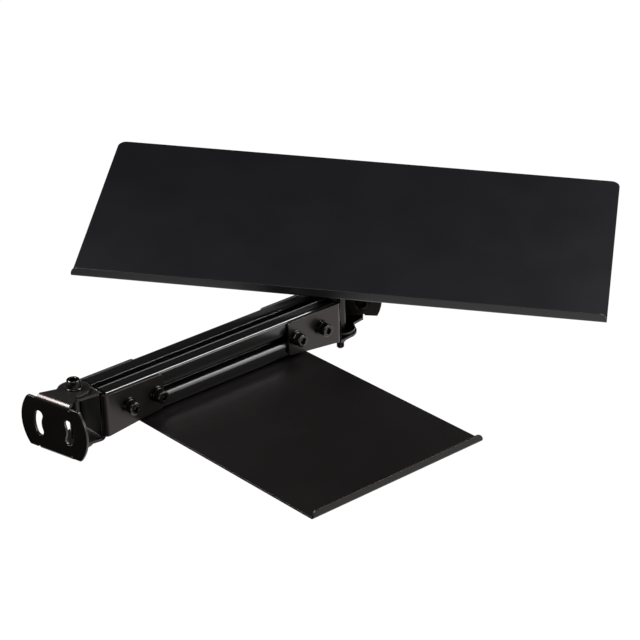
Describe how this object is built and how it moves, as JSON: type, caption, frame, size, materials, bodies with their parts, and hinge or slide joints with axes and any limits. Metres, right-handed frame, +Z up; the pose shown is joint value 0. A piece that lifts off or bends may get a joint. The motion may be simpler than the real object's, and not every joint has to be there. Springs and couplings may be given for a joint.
{
  "type": "sim rig keyboard tray",
  "caption": "Swinging rig tray: a slotted arm on a vertical pivot carries a wide keyboard tray with a folded lip, and a smaller mouse tray below it.",
  "frame": {"origin": "centre of the rig bracket's outer face", "axes": "-X is the outward normal of the rig bracket's face, +Z is up along both pivots, and the arm leaves along +X, turned as pictured"},
  "size_m": [0.6362, 0.5759, 0.1478],
  "materials": {
    "bracket_paint": "black textured powder coat",
    "tray_paint": "matte black powder coat",
    "anodised_aluminium": "black anodised extrusion",
    "fastener_steel": "black oxide",
    "pin_steel": "black oxide, oiled"
  },
  "bodies": {
    "rig_mount": {"rig_bracket": "bracket_paint", "rig_pivot_bolt": "fastener_steel", "rig_pivot_washers": "fastener_steel", "rig_pivot_nut": "fastener_steel"},
    "arm": {"arm_profile": "anodised_aluminium", "rig_end_bracket": "bracket_paint", "rig_end_bolts": "fastener_steel", "rig_end_washers": "fastener_steel", "rig_end_lock_washers": "fastener_steel", "rig_end_slot_nuts": "fastener_steel", "tray_end_bracket": "bracket_paint", "tray_end_bolts": "fastener_steel", "tray_end_washers": "fastener_steel", "tray_end_lock_washers": "fastener_steel", "tray_end_slot_nuts": "fastener_steel", "rig_pivot_sleeve": "pin_steel", "tray_pivot_bolt": "fastener_steel", "tray_pivot_washers": "fastener_steel", "tray_pivot_nut": "fastener_steel"},
    "tray_pivot": {"tray_bracket": "bracket_paint", "tray_pivot_sleeve": "pin_steel"},
    "keyboard": {"keyboard_tray": "tray_paint", "tray_hanger": "bracket_paint", "tray_studs": "fastener_steel", "tray_stud_washers": "fastener_steel", "tray_stud_nuts": "fastener_steel", "hanger_bolts": "fastener_steel", "hanger_washers": "fastener_steel", "hanger_nuts": "fastener_steel"},
    "mouse": {"mouse_tray": "tray_paint", "mouse_bolts": "fastener_steel", "mouse_washers": "fastener_steel", "mouse_slot_nuts": "fastener_steel"}
  },
  "joints": [
    {"name": "rig_swivel", "type": "hinge", "parent": "rig_mount", "child": "arm", "pos_m": [0.0305, 0, 0], "axis": [0, 0, 1], "range_deg": [-47.6, 72.4]},
    {"name": "tray_swivel", "type": "hinge", "parent": "arm", "child": "tray_pivot", "pos_m": [0.35349, -0.07101, 0], "axis": [0, 0, 1], "range_deg": [-85, 15]},
    {"name": "tray_level", "type": "hinge", "parent": "tray_pivot", "child": "keyboard", "pos_m": [0.35349, -0.07101, 0], "axis": [0.8829, 0.4695, 0], "range_deg": [-9, 6]},
    {"name": "mouse_slide", "type": "slide", "parent": "arm", "child": "mouse", "axis": [0.9767, -0.2147, 0], "range_m": [-0.006, 0.009]}
  ]
}
